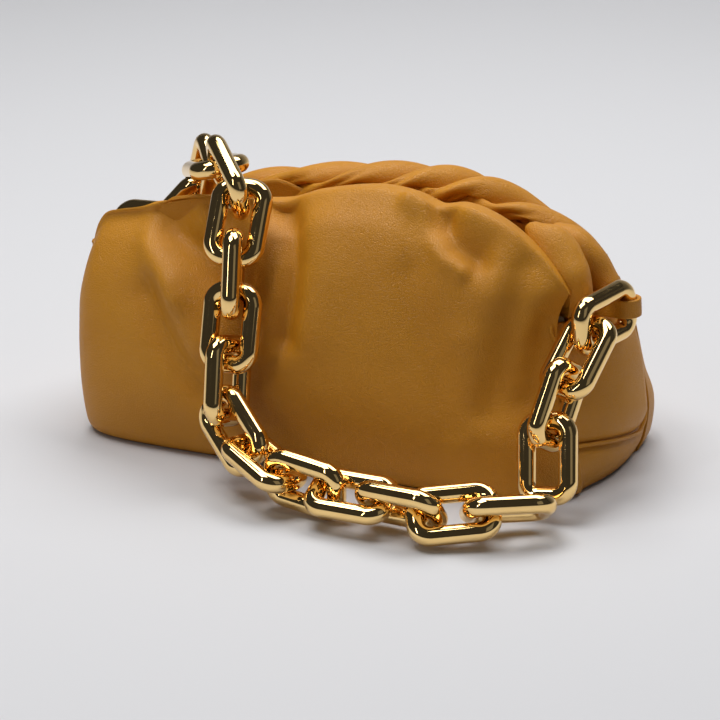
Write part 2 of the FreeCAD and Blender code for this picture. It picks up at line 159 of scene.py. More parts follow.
# End panels: seam over y and z with its piping, and how far the panel swells between its seams
END_SEAM = [
    (-0.046, 0.027), (-0.020, 0.023), (0.006, 0.018), (0.018, 0.0175), (0.026, 0.025), (0.0285, 0.045),
    (0.028, 0.066), (0.024, 0.088),
]
END_GRID = (80, 100)
END_SWELL = 0.0045
END_SWELL_SEAM, END_SWELL_FOOT, END_SWELL_TOP = 0.02, 0.03, 0.075   # where the swell fades
END_BULGE = 0.002           # least bulge from edge to edge
END_FRONT_POWER, END_REAR_POWER = 1.5, 0.8
END_FOOT, END_TOP = 0.001, 0.0915
END_INSET = 0.0022          # under the edges of the leather at both sides
END_TUCK_share = 0.03       # of the panel's width, past those edges
END_DENT_share = 1.2        # of the link's dent
EDGE_STEPS = 20             # halvings to find an edge at a height
SEAM_WIDTH = 0.0032
SEAM_DEPTH = 0.0022
PIPING = 0.0011
PIPING_GRID = (10, 90)
TUBE_STEP_share = 0.001     # of a tube, to each side, to find its direction

# Gathered roll of the rear half: silhouette over x
ROLL_TOP = [
    (-0.134, 0.096), (-0.128, 0.106), (-0.115, 0.119), (-0.098, 0.130), (-0.070, 0.140), (-0.036, 0.147),
    (-0.010, 0.151), (0.020, 0.153), (0.045, 0.153), (0.064, 0.150), (0.083, 0.144), (0.105, 0.134),
    (0.121, 0.124), (0.131, 0.113), (0.136, 0.098),
]
ROLL_GRID = (300, 110)
ROLL_PEAK = 78.0            # degrees about the hinge line, from the rear
# place from the lip to the rear, angle from the rear, distance from the hinge line as a share of the peak's
ROLL_SECTION_shares = [
    (0.00, 97.0, 0.600), (0.10, 97.0, 0.730), (0.20, 95.6, 0.890), (0.28, 89.0, 0.975), (0.36, 78.0, 1.000),
    (0.44, 69.0, 0.945), (0.54, 57.0, 0.845), (0.66, 42.0, 0.790), (0.82, 18.0, 0.765), (1.00, 2.0, 0.765),
]
ROLL_LOW_share = 0.765
# How far the roll's pleats stand ahead at the mouth, and between which places the fold is free for them
ROLL_AHEAD = 0.0095
FREE_LEFT, FREE_RIGHT = -0.062, -0.034
AHEAD_shares = [(0.0, 0.20), (0.10, 0.80), (0.20, 1.0), (0.30, 0.70), (0.42, 0.0)]
AHEAD_ROOM = (0.010, 0.040)             # reach of the roll with none and with all of that
# Pleats, with places from the lip to the rear
PLEAT_SPACING = 0.038
PLEAT_SWEEP = 4.4                       # pleats that a crease passes from the mouth to the rear
PLEAT_DEPTH = 0.0120
PLEAT_POWER = 0.6                       # of the lumps, lower is fuller
PLEAT_STRENGTH = 0.9
PLEAT_DRIFT = (0.5, 11.0, 3.1, 1.4)     # unevenness, in the rim's terms
PLEAT_VARIETY = (0.5, 14.0, 7.7, 3.0)
PLEAT_ROOM = (0.006, 0.034)             # reach of the roll with none and with all of that depth
PLEAT_FADE_share = 0.92                 # of the depth, lost towards the rear
PLEAT_FADE_shares = (0.28, 0.66)
PLEAT_LIP_share = 0.70                  # of the depth, at the lip
PLEAT_LIP_shares = (0.10, 0.24)
HELD_share = 0.35                       # of the depth, where the chain lies close ahead
HELD_shares = (0.24, 0.36)
PINCH_DEPTH = 0.0030
PINCH_COUNT, PINCH_START = 2.3, 0.3     # pinches to a pleat, and where they start
PINCH_shares = (0.18, 0.32)

# Leather over the frame, behind the pleats
LIP_GRID = (200, 20)
LIP_Y = 0.0050
LIP_WAVE = 0.0005
LIP_LEATHER = 0.0010
LIP_LOW_share, LIP_HIGH_share, LIP_SHOWN_share, LIP_END_share = 0.06, 0.90, 0.74, 0.97

# Leather tucked in between the crown and the roll at the right end: place, x, y, z, radius
RIGHT_TUCKS = [
    [
        (0.0, 0.098, -0.016, 0.130, 0.002), (0.12, 0.101, -0.016, 0.131, 0.009),
        (0.45, 0.115, -0.019, 0.123, 0.0125), (0.80, 0.127, -0.024, 0.105, 0.0105),
        (0.90, 0.128, -0.0245, 0.096, 0.0078), (1.0, 0.129, -0.0245, 0.086, 0.0062),
    ],
    [
        (0.0, 0.104, 0.000, 0.126, 0.002), (0.14, 0.108, 0.000, 0.128, 0.008),
        (0.50, 0.122, 0.001, 0.119, 0.0110), (0.85, 0.134, 0.002, 0.103, 0.0095),
        (1.0, 0.138, 0.002, 0.090, 0.007),
    ],
]
TUCK_GRID = (40, 60)
TUCK_WAVE = 0.0024
TUCK_WAVE_SCALE = 55.0

# Leather inside the mouth: a floor, then a wall
FACING_GRID = (160, 50)
FACING_LEATHER = 0.0012
FACING_LEFT, FACING_RIGHT = -0.140, 0.112
FACING_FRONT = -0.044
FACING_NARROW_share = 0.35  # of its front, at the right end
FACING_FLOOR = 0.0915
FACING_WALL = 0.0020
FACING_TOP_share = 0.60
FACING_BEND_share = 0.5     # of the leather, where the floor turns up
FACING_LEAST = 0.001        # height of the wall at its ends
FACING_SAG, FACING_SAG_RUN = 0.0015, 0.012
FACING_SAG_share = 0.3      # of the wall, over which the sag comes in

# Straps that hold the end links: middle of the end bar, its direction, the way to the bag, length of the leg
RIGHT_STRAP = (
    Vector((0.153, -0.014, 0.098)), Vector((-0.06, 0.0, 1.0)), Vector((-1.0, 0.0, 0.0)), 0.027,
)
LEFT_STRAP = (
    Vector((-0.148, -0.018, 0.107)), Vector((-0.012, 0.65, 0.75)), Vector((0.35, 0.66, -0.66)), 0.021,
)
STRAP_GRID = (90, 10)
STRAP_RADIUS = 0.0066
STRAP_WIDTH = 0.0098
STRAP_LEATHER = 0.0023
STRAP_SLACK = 0.0002        # between the middle of the strap and each leg's inner face
STRAP_BEND_share = 0.5      # of the strap, round the bar
STRAP_EDGE, STRAP_EDGE_STEPS = 0.0006, 3

# Base and lining: a floor, then a wall
TRAY_GRID = (200, 30)
TRAY_FLOOR_share = 0.5
TRAY_WALL = 0.0008
RING_START_share, RING_CLIMB_share = 0.01, 0.40     # up the profiles of the front and rear leather
LINING_FLOOR = 0.0075
LINING_CLIMB_share, BASE_CLIMB_share = 1.0, 0.02    # of that climb
LINING_INSETS = (0.018, 0.009)          # inside the front and the rear leather
BASE_INSETS = (0.0012, 0.0012)
INSET_RUN = 0.03                        # over which the front inset becomes the rear one

# Colours of the finishes, darker and lighter where there are two
CARAMEL = ((0.545, 0.218, 0.005, 1), (0.630, 0.266, 0.010, 1))
GOLD = ((0.92, 0.61, 0.23, 1), (0.96, 0.69, 0.31, 1))
STEEL = (0.62, 0.50, 0.32, 1)
CLOTH = ((0.20, 0.115, 0.050, 1), (0.26, 0.155, 0.072, 1))
BOARD = ((0.10, 0.075, 0.05, 1), (0.16, 0.12, 0.08, 1))
PAPER = (0.66, 0.66, 0.675, 1)

# Studio: paper that sweeps up behind the bag, and lamps by name, place, size, power
SWEEP_HALF = 4
SWEEP_STEPS = 40
SWEEP_START = 1.2
SWEEP_RADIUS = 0.9
LAMP_AIM = Vector((0, 0, 0.07))
LAMPS = [
    ("key", (-0.40, -0.35, 1.75), (0.9, 0.9), 17.0),
    ("top", (0.10, 0.65, 1.7), (1.8, 1.0), 26.0),
    ("fill", (1.5, -0.9, 0.9), (0.8, 1.2), 0.5),
    ("strip", (-0.45, -1.5, 0.95), (0.10, 0.9), 2.5),
]
ROOM_LIGHT = (0.035, 0.035, 0.037, 1)

# Camera, in degrees, metres and pixels of the picture
VIEW_AZIMUTH, VIEW_ELEVATION = 23.0, 19.5
VIEW_DISTANCE = 1.600
VIEW_TARGET = Vector((0, 0, 0.060))
FOCAL_PIXELS = 2862.0
FRAME_PIXELS = 720.0
TARGET_PIXEL = (372.0, 328.0)
SENSOR_MILLIMETRES = 36.0


def reading(rows, key):
    """Values at a key between listed rows, on a smooth curve through them."""
    if key <= rows[0][0]:
        return rows[0][1:]
    if key >= rows[-1][0]:
        return rows[-1][1:]
    k = max(i for i, row in enumerate(rows) if row[0] <= key)
    low, high = rows[k], rows[k + 1]
    before, after = rows[max(k - 1, 0)], rows[min(k + 2, len(rows) - 1)]
    span = high[0] - low[0]
    t = (key - low[0]) / span
    found = []
    for a, b, c, d in zip(before[1:], low[1:], high[1:], after[1:]):
        start = (c - a) / (high[0] - before[0]) * span
        end = (d - b) / (after[0] - low[0]) * span
        rise = c - b
        bend = 3 * rise - 2 * start - end
        twist = start + end - 2 * rise
        found.append(b + start * t + bend * t ** 2 + twist * t ** 3)
    return found


def ease(low, high, value):
    t = max(0.0, min(1.0, (value - low) / (high - low)))
    return t * t * (3 - 2 * t)


def uneven(wave, x, q=0.0):
    """Slow unevenness along the bag and up a sheet."""
    size, along, seed, up = wave
    return size * noise.noise(Vector((x * along, seed, q * up)))


def off_route(route, x, z):
    """Distance of a place from a route of straight runs."""
    here = Vector((x, z))
    least = math.inf
    for a, b in zip(route, route[1:]):
        a, b = Vector(a), Vector(b)
        run = b - a
        along = max(0.0, min(1.0, (here - a).dot(run) / run.length_squared))
        least = min(least, (here - a - run * along).length)
    return least


def folded(folds, x, z):
    return sum(rise * math.exp(-(off_route(route, x, z) / width) ** 2) for route, width, rise in folds)


def laid_grid(grid, place, centre, swell=None):
    """A bmesh grid laid out by place(p, q): p from -1 to 1 along it, q from 0 to 1 up it. Its faces look away
    from a centre, and swell(p, q) then moves it along its normals."""
    across, up = grid
    bm = bmesh.new()
    bmesh.ops.create_grid(bm, x_segments=across, y_segments=up, size=1)
    spots = [(v.co.x, (v.co.y + 1) / 2) for v in bm.verts]
    for v, (p, q) in zip(bm.verts, spots):
        v.co = place(p, q)
    face_away(bm, centre)
    if swell:
        for v, (p, q) in zip(bm.verts, spots):
            v.co += v.normal * swell(p, q)
        bm.normal_update()
    return bm


def face_away(bm, centre):
    """Turns an open sheet so that its faces look away from a point inside it."""
    bm.normal_update()
    outward = sum((f.calc_center_median() - centre).dot(f.normal) for f in bm.faces)
    if outward < 0:
        bmesh.ops.reverse_faces(bm, faces=bm.faces)
        bm.normal_update()


def smooth_object(bm, name, material):
    """Finishes a bmesh as a smooth object in the scene."""
    mesh = bpy.data.meshes.new(name)
    bm.to_mesh(mesh)
    bm.free()
    for polygon in mesh.polygons:
        polygon.use_smooth = True
    mesh.materials.append(material)
    thing = bpy.data.objects.new(name, mesh)
    bpy.context.scene.collection.objects.link(thing)
    return thing


def made(bm, name, material, body, replaced=(), thickness=0.0):
    """Finishes a bmesh as a piece that rides on a body."""
    piece = smooth_object(bm, name, material)
    if thickness:
        wall = piece.modifiers.new("thickness", "SOLIDIFY")
        wall.thickness = thickness
        wall.offset = -1
        wall.use_rim = True
    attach(piece, body)
    if replaced:
        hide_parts(*replaced)
    return piece


def corner(c, s, power):
    """A place on a rounded rectangle of half sizes 1."""
    size = (abs(c) ** power + abs(s) ** power) ** (1 / power)
    return c / size, s / size


def shader(name):
    """A material with only its Principled shader, and its nodes and links."""
    material = bpy.data.materials.new(name)
    material.use_nodes = True
    tree = material.node_tree
    return material, tree.nodes, tree.links, tree.nodes["Principled BSDF"]


def effect(name, inputs, outputs):
    """A node group with named sockets, with its input and output nodes."""
    group = bpy.data.node_groups.new(name, "ShaderNodeTree")
    for way, rows in (("INPUT", inputs), ("OUTPUT", outputs)):
        for label, kind in rows:
            group.interface.new_socket(label, in_out=way, socket_type="NodeSocket" + kind)
    return group, group.nodes.new("NodeGroupInput"), group.nodes.new("NodeGroupOutput")


def socket(sockets, identifier):
    """One of several sockets that share a name."""
    return next(s for s in sockets if s.identifier == identifier)


def mottled_colour():
    """Noise between a darker and a lighter colour."""
    group, given, result = effect(
        "mottled_colour",
        [("Vector", "Vector"), ("Scale", "Float"), ("Detail", "Float"), ("Low", "Float"), ("High", "Float"),
         ("Dark", "Color"), ("Light", "Color")],
        [("Colour", "Color")],
    )
    tone = group.nodes.new("ShaderNodeTexNoise")
    spread = group.nodes.new("ShaderNodeMapRange")
    blend = group.nodes.new("ShaderNodeMix")
    blend.data_type = "RGBA"
    for label in ("Vector", "Scale", "Detail"):
        group.links.new(given.outputs[label], tone.inputs[label])
    group.links.new(tone.outputs["Fac"], spread.inputs["Value"])
    group.links.new(given.outputs["Low"], spread.inputs["From Min"])
    group.links.new(given.outputs["High"], spread.inputs["From Max"])
    group.links.new(spread.outputs["Result"], socket(blend.inputs, "Factor_Float"))
    group.links.new(given.outputs["Dark"], socket(blend.inputs, "A_Color"))
    group.links.new(given.outputs["Light"], socket(blend.inputs, "B_Color"))
    group.links.new(socket(blend.outputs, "Result_Color"), result.inputs["Colour"])
    return group


def uneven_gloss():
    """Noise that makes a surface rougher and smoother from place to place."""
    group, given, result = effect(
        "uneven_gloss",
        [("Vector", "Vector"), ("Scale", "Float"), ("Detail", "Float"), ("Grain", "Float"), ("Low", "Float"),
         ("High", "Float"), ("Smooth", "Float"), ("Rough", "Float")],
        [("Fac", "Float"), ("Roughness", "Float")],
    )
    haze = group.nodes.new("ShaderNodeTexNoise")
    gloss = group.nodes.new("ShaderNodeMapRange")
    for label in ("Vector", "Scale", "Detail"):
        group.links.new(given.outputs[label], haze.inputs[label])
    group.links.new(given.outputs["Grain"], haze.inputs["Roughness"])
    group.links.new(haze.outputs["Fac"], gloss.inputs["Value"])
    for label, end in (("Low", "From Min"), ("High", "From Max"), ("Smooth", "To Min"), ("Rough", "To Max")):
        group.links.new(given.outputs[label], gloss.inputs[end])
    group.links.new(haze.outputs["Fac"], result.inputs["Fac"])
    group.links.new(gloss.outputs["Result"], result.inputs["Roughness"])
    return group


def placed(material, group, **values):
    """An effect placed in a material on its Object coordinates, with its own values."""
    tree = material.node_tree
    node = tree.nodes.new("ShaderNodeGroup")
    node.node_tree = group
    place = tree.nodes.new("ShaderNodeTexCoord")
    tree.links.new(place.outputs["Object"], node.inputs["Vector"])
    for label, value in values.items():
        node.inputs[label].default_value = value
    return node


def leather_finish(mottle, gloss):
    material, shapes, links, skin = shader("caramel_leather")
    dark, light = CARAMEL
    tone = placed(material, mottle, Scale=14.0, Detail=5.0, Low=0.30, High=0.72, Dark=dark, Light=light)
    crease = placed(
        material, gloss, Scale=260.0, Detail=6.0, Grain=0.65, Low=0.0, High=1.0, Smooth=0.40, Rough=0.54,
    )
    place = shapes.new("ShaderNodeTexCoord")
    grain = shapes.new("ShaderNodeTexVoronoi")
    grain.feature = "DISTANCE_TO_EDGE"
    grain.inputs["Scale"].default_value = 760.0
    grain.inputs["Randomness"].default_value = 1.0
    pebble = shapes.new("ShaderNodeMapRange")
    pebble.inputs["From Max"].default_value = 0.12
    height = shapes.new("ShaderNodeMath")
    height.operation = "MULTIPLY_ADD"
    height.inputs[1].default_value = 0.55
    bump = shapes.new("ShaderNodeBump")
    bump.inputs["Strength"].default_value = 0.55
    bump.inputs["Distance"].default_value = 0.0007
    links.new(tone.outputs["Colour"], skin.inputs["Base Color"])
    links.new(crease.outputs["Roughness"], skin.inputs["Roughness"])
    links.new(place.outputs["Object"], grain.inputs["Vector"])
    links.new(grain.outputs["Distance"], pebble.inputs["Value"])
    links.new(pebble.outputs["Result"], height.inputs[0])
    links.new(crease.outputs["Fac"], height.inputs[2])
    links.new(height.outputs["Value"], bump.inputs["Height"])
    links.new(bump.outputs["Normal"], skin.inputs["Normal"])
    skin.inputs["Specular IOR Level"].default_value = 0.42
    return material


def gold_finish(mottle, gloss):
    material, _, links, plate = shader("polished_gold_plate")
    dark, light = GOLD
    tone = placed(material, mottle, Scale=90.0, Detail=4.0, Low=0.0, High=1.0, Dark=dark, Light=light)
    haze = placed(
        material, gloss, Scale=90.0, Detail=4.0, Grain=0.5, Low=0.3, High=0.8, Smooth=0.035, Rough=0.085,
    )
    links.new(tone.outputs["Colour"], plate.inputs["Base Color"])
    links.new(haze.outputs["Roughness"], plate.inputs["Roughness"])
    plate.inputs["Metallic"].default_value = 1.0
    return material


def steel_finish(gloss):
    material, _, links, metal = shader("satin_plated_steel")
    brush = placed(
        material, gloss, Scale=400.0, Detail=2.0, Grain=0.5, Low=0.0, High=1.0, Smooth=0.25, Rough=0.42,
    )
    links.new(brush.outputs["Roughness"], metal.inputs["Roughness"])
    metal.inputs["Base Color"].default_value = STEEL
    metal.inputs["Metallic"].default_value = 1.0
    return material


def lining_finish():
    material, shapes, links, cloth = shader("woven_lining")
    place = shapes.new("ShaderNodeTexCoord")
    weave = shapes.new("ShaderNodeTexChecker")
    weave.inputs["Scale"].default_value = 1600.0
    weave.inputs["Color1"].default_value, weave.inputs["Color2"].default_value = CLOTH
    bump = shapes.new("ShaderNodeBump")
    bump.inputs["Strength"].default_value = 0.3
    bump.inputs["Distance"].default_value = 0.0003
    links.new(place.outputs["Object"], weave.inputs["Vector"])
    links.new(weave.outputs["Color"], cloth.inputs["Base Color"])
    links.new(weave.outputs["Fac"], bump.inputs["Height"])
    links.new(bump.outputs["Normal"], cloth.inputs["Normal"])
    cloth.inputs["Roughness"].default_value = 0.85
    return material


def board_finish(mottle):
    material, _, links, board = shader("stiffening_board")
    dark, light = BOARD
    fibre = placed(material, mottle, Scale=300.0, Detail=2.0, Low=0.0, High=1.0, Dark=dark, Light=light)
    links.new(fibre.outputs["Colour"], board.inputs["Base Color"])
    board.inputs["Roughness"].default_value = 0.7
    return material


def front_place(p, q):
    right_turn = RIGHT_TURN + CROWN_TURN * ease(*CROWN_TURN_shares, q)
    turn = math.radians(p * (LEFT_TURN if p < 0 else right_turn))
    row = reading(FRONT_PROFILE_shares, min(q, CROWN_START_share))
    depth, height, left, right, left_power, right_power = row
    along, ahead = corner(math.sin(turn), math.cos(turn), left_power if p < 0 else right_power)
    start = CROWN_REAR * ease(*CROWN_LEAN_shares, q)
    x = HALF_LENGTH * (left if p < 0 else right) * along
    y = start - (FRONT_DEPTH * depth + start) * ahead
    crown = reading(CROWN, x)[0]
    z = height * crown
    if q > CROWN_START_share:
        t = (q - CROWN_START_share) / (1 - CROWN_START_share)
        back, down = reading(CROWN_ROLL_shares, t)
        y += FRONT_DEPTH * back * reading(CROWN_REACH_shares, along)[0]
        short = (1 - CROWN_EDGE_share) * (1 - ease(-CROWN_EASE_share, CROWN_EASE_share, t)) * 2
        z = crown * (1 - short) - down * (crown - CROWN_FOOT)
    return Vector((x, y, z))


def settle(bm, folds, facing):
    """Presses the folds into the side of a sheet that faces forward or back, with a slow waviness."""
    for v in bm.verts:
        low = ease(0.0, FOLD_FOOT, v.co.z)
        upright = ease(*FOLD_FACING, v.normal.y * facing)
        swell = noise.noise(v.co * UNDULATION_SCALE) * UNDULATION
        v.co += v.normal * low * (folded(folds, v.co.x, v.co.z) * upright + swell)
    bm.normal_update()


def press_link(bm, share=1.0):
    """Presses the dent of the link into the outer side of a sheet."""
    middle, width, depth = LINK_DENT
    inward = Vector((-middle.x, -middle.y, 0)).normalized()
    for v in bm.verts:
        outer = ease(*DENT_FACING, -v.normal.dot(inward))
        v.co += inward * share * outer * depth * math.exp(-((v.co - middle).length / width) ** 2)
    bm.normal_update()


def front_leather(material):
    bm = laid_grid(FRONT_GRID, front_place, FRONT_MIDDLE)
    settle(bm, FRONT_FOLDS, -1)
    press_link(bm)
    return made(bm, "front_leather", material, "bag", ["front_panel"], LEATHER)


def roll_reach(x):
    """Distance of the roll's peak from the hinge line."""
    return (reading(ROLL_TOP, x)[0] - RIM_HEIGHT) / math.sin(math.radians(ROLL_PEAK))


def roll_x(p):
    end = ROLL_TOP[-1][0] if p > 0 else -ROLL_TOP[0][0]
    return end * math.sin(p * math.pi / 2)


def free_ahead(x):
    """How free the fold before the roll is, from none beside the chain to all."""
    return ease(FREE_LEFT, FREE_RIGHT, x)


def lumps(phase, power):
    """Lumps between sharp creases, one to each unit of phase, from 0 in a crease to 1."""
    return abs(math.sin(math.pi * phase)) ** power


def pleat(p, q):
    """Lumps between sharp creases that start at the lip and sweep up to the right."""
    x = roll_x(p)
    phase = x / PLEAT_SPACING - PLEAT_SWEEP * q + uneven(PLEAT_DRIFT, x, q)
    lump = lumps(phase, PLEAT_POWER) - 1
    strength = PLEAT_STRENGTH + uneven(PLEAT_VARIETY, x, q)
    pinch = lumps(PINCH_COUNT * phase + PINCH_START, 1) - 1
    fade = 1 - PLEAT_FADE_share * ease(*PLEAT_FADE_shares, q)
    tight = 1 - ease(*PINCH_shares, q)
    room = ease(*PLEAT_ROOM, roll_reach(x))
    held = 1 - (1 - HELD_share) * (1 - free_ahead(x)) * (1 - ease(*HELD_shares, q))
    lip = PLEAT_LIP_share + (1 - PLEAT_LIP_share) * ease(*PLEAT_LIP_shares, q)
    return room * held * lip * (PLEAT_DEPTH * lump * strength * fade + PINCH_DEPTH * pinch * tight)


def roll_place(p, q):
    x = roll_x(p)
    angle, share = reading(ROLL_SECTION_shares, q)
    distance = roll_reach(x) * share
    turn = math.radians(angle)
    ahead = ROLL_AHEAD * reading(AHEAD_shares, q)[0] * free_ahead(x) * ease(*AHEAD_ROOM, roll_reach(x))
    return Vector((x, HINGE_Y + distance * math.cos(turn) - ahead, RIM_HEIGHT + distance * math.sin(turn)))


def gathered_roll(material):
    bm = laid_grid(ROLL_GRID, roll_place, HINGE_MIDDLE, pleat)
    replaced = ["rear_cover", "rear_gather"]
    piece = made(bm, "gathered_roll", material, "rear_half", replaced, LEATHER)
    return piece


def lip_place(p, q):
    x = roll_x(p) * LIP_END_share
    top = LIP_HIGH_share + (LIP_SHOWN_share - LIP_HIGH_share) * free_ahead(x)
    rise = roll_reach(x) * (LIP_LOW_share + (top - LIP_LOW_share) * q)
    wave = LIP_WAVE * math.sin(2 * math.pi * x / PLEAT_SPACING)
    return Vector((x, LIP_Y + wave, RIM_HEIGHT + rise))


def lip_facing(material):
    bm = laid_grid(LIP_GRID, lip_place, HINGE_MIDDLE)
    return made(bm, "lip_facing", material, "rear_half", (), LIP_LEATHER)


def edge_at(place, side, z, top):
    """Where the end of a sheet stands at a height."""
    low, high = 0.0, top
    for _ in range(EDGE_STEPS):
        middle = (low + high) / 2
        if place(side, middle).z < z:
            low = middle
        else:
            high = middle
    return place(side, low)


def end_row(side, z):
    """The edges of the front and rear leather at a height, and how far the panel between them bulges."""
    front = edge_at(front_place, side, z, CROWN_START_share)
    rear = edge_at(rear_place, side, z, REAR_RIM_share)
    widest = reading(WALLS, z)[0 if side < 0 else 1]
    return front, rear, max(widest - abs(front.x + rear.x) / 2, END_BULGE)


def end_point(side, row, share, z):
    front, rear, bulge = row
    middle = front.lerp(rear, share)
    out = bulge * max(4 * share * (1 - share), 0) ** (END_FRONT_POWER if share < 0.5 else END_REAR_POWER)
    return Vector((middle.x + side * (out - END_INSET), middle.y, z))


def end_panel(side, name, material):
    rows = {}

    def place(p, q):
        z = END_FOOT + (END_TOP - END_FOOT) * q
        if z not in rows:
            rows[z] = end_row(side, z)
        spot = end_point(side, rows[z], (p * (1 + END_TUCK_share) + 1) / 2, z)
        apart = off_route(END_SEAM, spot.y, z)
        upright = ease(0.0, END_SWELL_FOOT, z) * (1 - ease(END_SWELL_TOP, END_TOP, z))
        swell = END_SWELL * ease(0.0, END_SWELL_SEAM, apart) * upright
        spot.x += side * (swell - SEAM_DEPTH * math.exp(-(apart / SEAM_WIDTH) ** 2))
        return spot

    bm = laid_grid(END_GRID, place, BAG_MIDDLE)
    press_link(bm, END_DENT_share)
    return made(bm, name + "_end_panel", material, "bag", [name + "_gusset"], LEATHER)


def tube(rows, grid, across):
    """A tube through rows of place, x, y, z, radius, turned so that its seam lies along a direction."""

    def place(p, q):
        x, y, z, radius = reading(rows, q)
        after = Vector(reading(rows, min(q + TUBE_STEP_share, 1))[:3])
        ahead = after - Vector(reading(rows, max(q - TUBE_STEP_share, 0))[:3])
        side = ahead.cross(across).normalized()
        up = side.cross(ahead).normalized()
        turn = p * math.pi
        return Vector((x, y, z)) + (side * math.cos(turn) + up * math.sin(turn)) * radius

    bm = laid_grid(grid, place, Vector(rows[len(rows) // 2][1:4]))
    bmesh.ops.remove_doubles(bm, verts=bm.verts, dist=MERGE)
    bmesh.ops.holes_fill(bm, edges=bm.edges)
    bmesh.ops.recalc_face_normals(bm, faces=bm.faces)
    return bm


def piping(side, name, material):
    rows = []
    for k, (y, z) in enumerate(END_SEAM):
        row = end_row(side, z)
        share = (y - row[0].y) / (row[1].y - row[0].y)
        spot = end_point(side, row, share, z)
        rows.append((k / (len(END_SEAM) - 1), spot.x, y, z, PIPING))
    return made(tube(rows, PIPING_GRID, Vector((1, 0, 0))), name + "_piping", material, "bag")


def rear_place(p, q):
    turn = math.radians(p * REAR_TURN)
    z = RIM_HEIGHT * min(q / REAR_RIM_share, 1)
    left, right, depth, power = reading(WALLS, z)
    along, behind = corner(math.sin(turn), math.cos(turn), power)
    x = (left if p < 0 else right) * along
    y = depth * behind
    if q > REAR_RIM_share:
        inward, rise = reading(REAR_RIM_shares, (q - REAR_RIM_share) / (1 - REAR_RIM_share))
        edge = HINGE_Y + max(ROLL_LOW_share * roll_reach(x), PIN_ROOM) + RIM_GAP
        y += (min(edge, y) - y) * inward
        z += RIM_RISE * rise + uneven(RIM_WAVE, x) * rise
    return Vector((x, y, z))


def rear_gather(p, q):
    """Soft gathers that hang from the turned rim."""
    x = HALF_LENGTH * math.sin(math.radians(p * REAR_TURN))
    phase = x / GATHER_SPACING + uneven(GATHER_DRIFT, x, q)
    strength = GATHER_STRENGTH + uneven(GATHER_VARIETY, x)
    shown = ease(GATHER_START_share, REAR_RIM_share, q) * (1 - ease(*GATHER_END_shares, q))
    shown *= 1 - abs(p) ** GATHER_SIDE_POWER
    return GATHER_DEPTH * (lumps(phase, GATHER_POWER) - GATHER_LEVEL_share) * strength * shown


def rear_leather(material):
    bm = laid_grid(REAR_GRID, rear_place, BAG_MIDDLE, rear_gather)
    settle(bm, REAR_FOLDS, 1)
    return made(bm, "rear_leather", material, "bag", ["rear_panel"], LEATHER)


def facing_place(p, q):
    x = (FACING_LEFT if p < 0 else FACING_RIGHT) * abs(math.sin(p * math.pi / 2))
    height = max((reading(ROLL_TOP, x)[0] - FACING_FLOOR) * FACING_TOP_share, FACING_LEAST)
    level = min(q / FACING_BEND_share, 1)
    rise = max(q - FACING_BEND_share, 0) / (1 - FACING_BEND_share)
    sag = FACING_SAG * math.sin(x / FACING_SAG_RUN) * ease(0, FACING_SAG_share, rise)
    front = FACING_FRONT * (1 - FACING_NARROW_share * ease(0.0, FACING_RIGHT, x))
    y = front + (FACING_WALL - front) * level - sag
    return Vector((x, y, FACING_FLOOR + height * rise))


def mouth_facing(material):
    bm = laid_grid(FACING_GRID, facing_place, BELOW_HINGE)
    return made(bm, "mouth_facing", material, "bag", ["mouth_shelf", "mouth_web"], FACING_LEATHER)


def right_tucks(material):
    for k, rows in enumerate(RIGHT_TUCKS):
        bm = tube(rows, TUCK_GRID, Vector((0, 1, 0)))
        for v in bm.verts:
            v.co += v.normal * TUCK_WAVE * noise.noise(v.co * TUCK_WAVE_SCALE)
        bm.normal_update()
        made(bm, "right_tuck_%d" % (k + 1), material, "bag")


def strap(name, row, material, replaced):
    """A leather strap round the end link's bar, its two legs sewn into the bag."""
    middle, bar, leg, length = row
    bar = bar.normalized()
    leg = (leg - bar * leg.dot(bar)).normalized()
    side = bar.cross(leg)
    gap = STRAP_LEATHER / 2 + STRAP_SLACK
    meet = math.acos(STRAP_RADIUS / math.hypot(length, gap)) + math.atan2(gap, length)

    def place(p, q):
        if abs(p) > STRAP_BEND_share:
            share = (abs(p) - STRAP_BEND_share) / (1 - STRAP_BEND_share)
            u = STRAP_RADIUS * math.cos(meet) * (1 - share) + length * share
            v = STRAP_RADIUS * math.sin(meet) * (1 - share) + gap * share
            v = math.copysign(v, p)
        else:
            turn = math.pi - (math.pi - meet) * p / STRAP_BEND_share
            u = STRAP_RADIUS * math.cos(turn)
            v = STRAP_RADIUS * math.sin(turn)
        return middle + leg * u + side * v + bar * STRAP_WIDTH * (q - 0.5)

    bm = laid_grid(STRAP_GRID, place, middle)
    piece = made(bm, name, material, "bag", replaced, STRAP_LEATHER)
    piece.modifiers["thickness"].offset = 0
    edge = piece.modifiers.new("edge", "BEVEL")
    edge.width = STRAP_EDGE
    edge.segments = STRAP_EDGE_STEPS
    edge.limit_method = "ANGLE"
    return piece


def ring_place(p, up):
    """A place on the outline of the bag, once round it from the rear, and up its walls."""
    climb = RING_START_share + RING_CLIMB_share * up
    if abs(p) <= 0.5:
        return front_place(2 * p, climb)
    return rear_place(math.copysign(2 - 2 * abs(p), p), climb)


